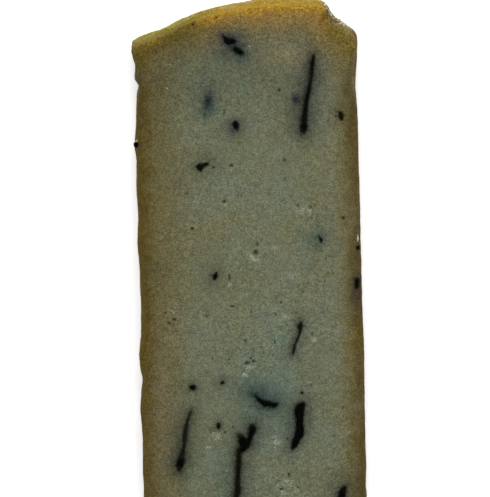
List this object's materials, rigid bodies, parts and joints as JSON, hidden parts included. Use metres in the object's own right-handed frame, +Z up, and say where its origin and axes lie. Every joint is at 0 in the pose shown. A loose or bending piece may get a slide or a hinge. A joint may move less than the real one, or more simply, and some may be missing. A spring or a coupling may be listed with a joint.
{
  "type": "raclette cheese slice",
  "caption": "Flat oblong slice of semi-hard melting cheese, lying on one cut face, with a curved rind end, small holes and dark mushroom shreds in the face.",
  "frame": {"origin": "centre of the underside, the cut face that the slice lies on", "axes": "+Z up out of the shown cut face; +Y along the slice to the rounded rim; +X across the slice, from one flat rind to the other"},
  "size_m": [0.0656, 0.15, 0.0154],
  "materials": {
    "cheese": "satin",
    "mushroom_shred": "matte",
    "cheese_crumb": "matte"
  },
  "bodies": {
    "root": {"cheese_slice": "cheese"}
  },
  "joints": []
}
